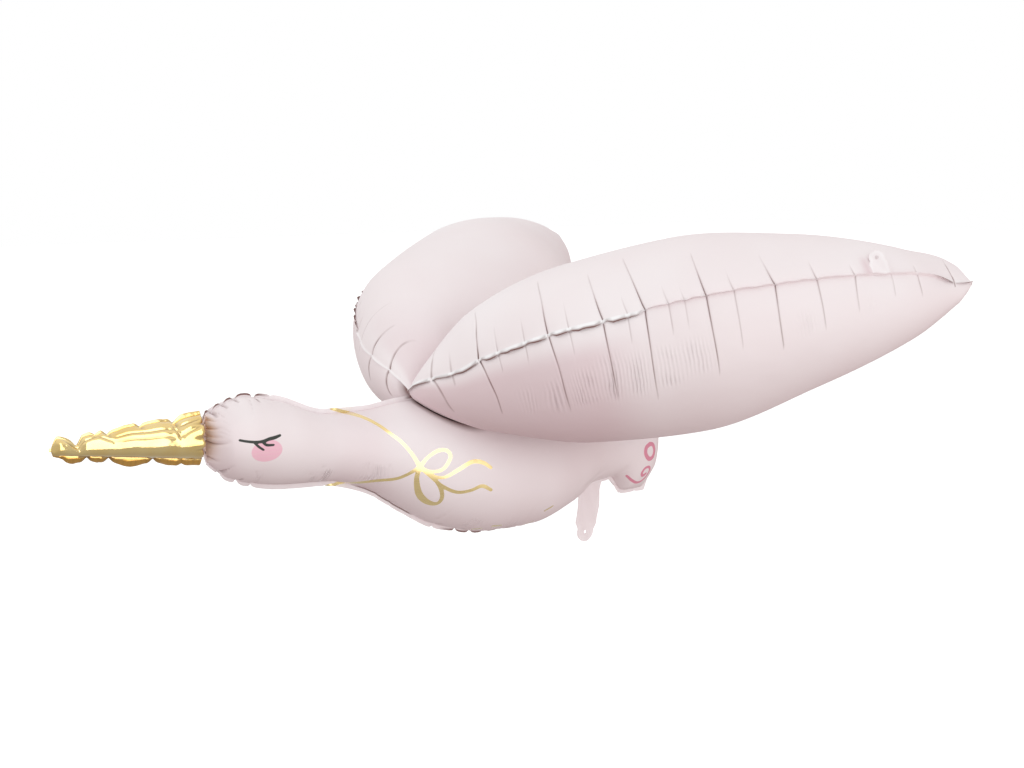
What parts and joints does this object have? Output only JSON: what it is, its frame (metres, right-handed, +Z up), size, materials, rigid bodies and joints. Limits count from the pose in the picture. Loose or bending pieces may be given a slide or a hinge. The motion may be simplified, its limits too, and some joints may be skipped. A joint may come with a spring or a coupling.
{
  "type": "stork foil balloon",
  "caption": "Foil balloon shaped as a flying stork: pale pink body, swept wings bent up in a V, gold beak and a valve tab with a tether hole.",
  "frame": {"origin": "middle of the tether hole in the valve tab under the tail, where a ribbon is tied", "axes": "-X forward along the beak, +X to the tail and the wing tips, -Y to the stork's left wing, +Z up"},
  "size_m": [1.0959, 0.9216, 0.462],
  "materials": {
    "body_foil": "satin pale pink printed foil",
    "beak_foil": "mirror gold foil",
    "wing_foil": "satin pale pink foil"
  },
  "bodies": {
    "root": {"body": "body_foil", "beak": "beak_foil", "wings": "wing_foil"}
  },
  "joints": []
}
